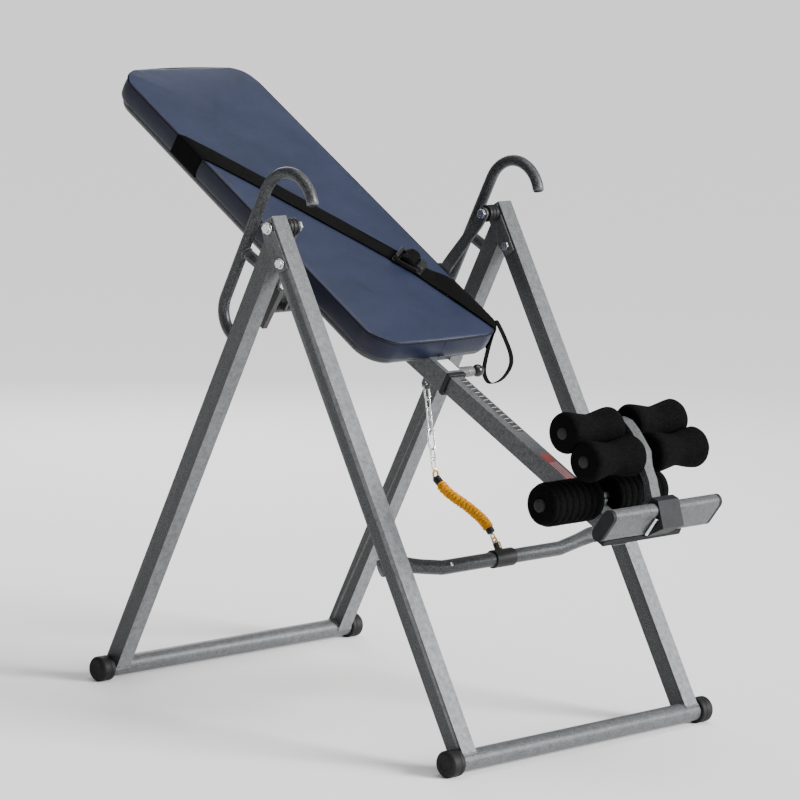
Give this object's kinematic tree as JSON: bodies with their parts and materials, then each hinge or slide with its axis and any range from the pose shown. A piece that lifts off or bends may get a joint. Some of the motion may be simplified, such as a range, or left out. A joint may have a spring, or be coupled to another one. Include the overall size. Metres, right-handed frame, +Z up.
{
  "type": "inversion table",
  "caption": "Folding inversion table: padded bed on an A-frame with hook handles, sliding boom with heel rollers, footrest and ankle clamp, and a tether to the crossbar",
  "frame": {"origin": "on the floor, under the middle of the bounding box", "axes": "X across the machine, positive to the user's left when lying face up with the head at +Y; Y from the foot end to the head end; Z up"},
  "size_m": [0.806, 1.5482, 1.3369],
  "materials": {
    "frame_paint": "grey hammertone enamel",
    "zinc": "bright zinc plate",
    "rubber": "matt moulded rubber",
    "black_plastic": "matt black nylon",
    "slate_plastic": "slate grey moulded plastic",
    "pad_vinyl": "navy leatherette",
    "board_wood": "plain plywood",
    "strap_webbing": "black nylon webbing",
    "foam": "black closed cell foam",
    "tether_cord": "yellow ruched elastic sleeve",
    "black_metal": "black enamel"
  },
  "bodies": {
    "front_frame": {"front_leg_left": "frame_paint", "pivot_bolt_left": "zinc", "fold_bolt_left": "zinc", "pivot_bushing_left": "black_plastic", "front_foot_cap_left": "rubber", "front_leg_right": "frame_paint", "pivot_bolt_right": "zinc", "fold_bolt_right": "zinc", "pivot_bushing_right": "black_plastic", "front_foot_cap_right": "rubber", "front_base_tube": "frame_paint", "crossbar": "frame_paint", "tether_clip": "black_plastic", "tether_elastic": "tether_cord", "tether_hook": "zinc"},
    "rear_frame": {"rear_leg_left": "frame_paint", "fold_bracket_left": "frame_paint", "handle_left": "frame_paint", "rear_foot_cap_left": "rubber", "rear_leg_right": "frame_paint", "fold_bracket_right": "frame_paint", "handle_right": "frame_paint", "rear_foot_cap_right": "rubber", "rear_base_tube": "frame_paint"},
    "table": {"pivot_arm_left": "frame_paint", "arm_bracket_left": "black_metal", "pivot_arm_right": "frame_paint", "arm_bracket_right": "black_metal", "bed_pad": "pad_vinyl", "bed_board": "board_wood", "bed_frame": "frame_paint", "bed_crossmember": "frame_paint", "strap_long": "strap_webbing", "strap_short": "strap_webbing", "strap_buckle": "black_plastic", "strap_tail": "strap_webbing", "boom_sleeve": "frame_paint", "sleeve_collar": "black_plastic", "tether_eye": "frame_paint", "pull_pin_housing": "black_plastic", "tether_chain": "zinc"},
    "boom": {"boom_tube": "frame_paint", "heel_axle": "frame_paint", "footrest_bar": "frame_paint", "footrest_cap_left": "slate_plastic", "footrest_cap_right": "slate_plastic", "footrest_pin": "zinc", "footrest_clamp": "slate_plastic", "end_bracket": "slate_plastic"},
    "ankle_clamp": {"ankle_lever": "frame_paint", "ankle_tube_upper": "black_plastic", "ankle_roller_upper_left": "foam", "ankle_roller_upper_right": "foam", "ankle_tube_lower": "black_plastic", "ankle_roller_lower_left": "foam", "ankle_roller_lower_right": "foam"},
    "heel_roller_left": {"heel_roller_left": "foam"},
    "heel_roller_right": {"heel_roller_right": "foam"},
    "pull_pin": {"pull_pin": "black_plastic"}
  },
  "joints": [
    {"name": "frame_fold", "type": "hinge", "parent": "front_frame", "child": "rear_frame", "pos_m": [0, 0.01737, 0.98271], "axis": [1, 0, 0], "range_deg": [-55.5, 0]},
    {"name": "table_tilt", "type": "hinge", "parent": "front_frame", "child": "table", "pos_m": [0, 0.05821, 1.05266], "axis": [1, 0, 0], "range_deg": [-118, 12], "deforming": ["tether_chain", "tether_elastic", "tether_hook"]},
    {"name": "boom_slide", "type": "slide", "parent": "table", "child": "boom", "axis": [0, 0.891, 0.454], "range_m": [-0.05, 0.18]},
    {"name": "ankle_lever", "type": "hinge", "parent": "boom", "child": "ankle_clamp", "pos_m": [0, -0.67916, 0.5086], "axis": [1, 0, 0], "range_deg": [-10, 3]},
    {"name": "heel_spin_left", "type": "hinge", "parent": "boom", "child": "heel_roller_left", "pos_m": [0, -0.56874, 0.53793], "axis": [1, 0, 0], "continuous": true},
    {"name": "heel_spin_right", "type": "hinge", "parent": "boom", "child": "heel_roller_right", "pos_m": [0, -0.56874, 0.53793], "axis": [1, 0, 0], "continuous": true},
    {"name": "pull_pin_slide", "type": "slide", "parent": "table", "child": "pull_pin", "axis": [1, 0, 0], "range_m": [0, 0.012], "stiffness_N_per_m": 600}
  ]
}
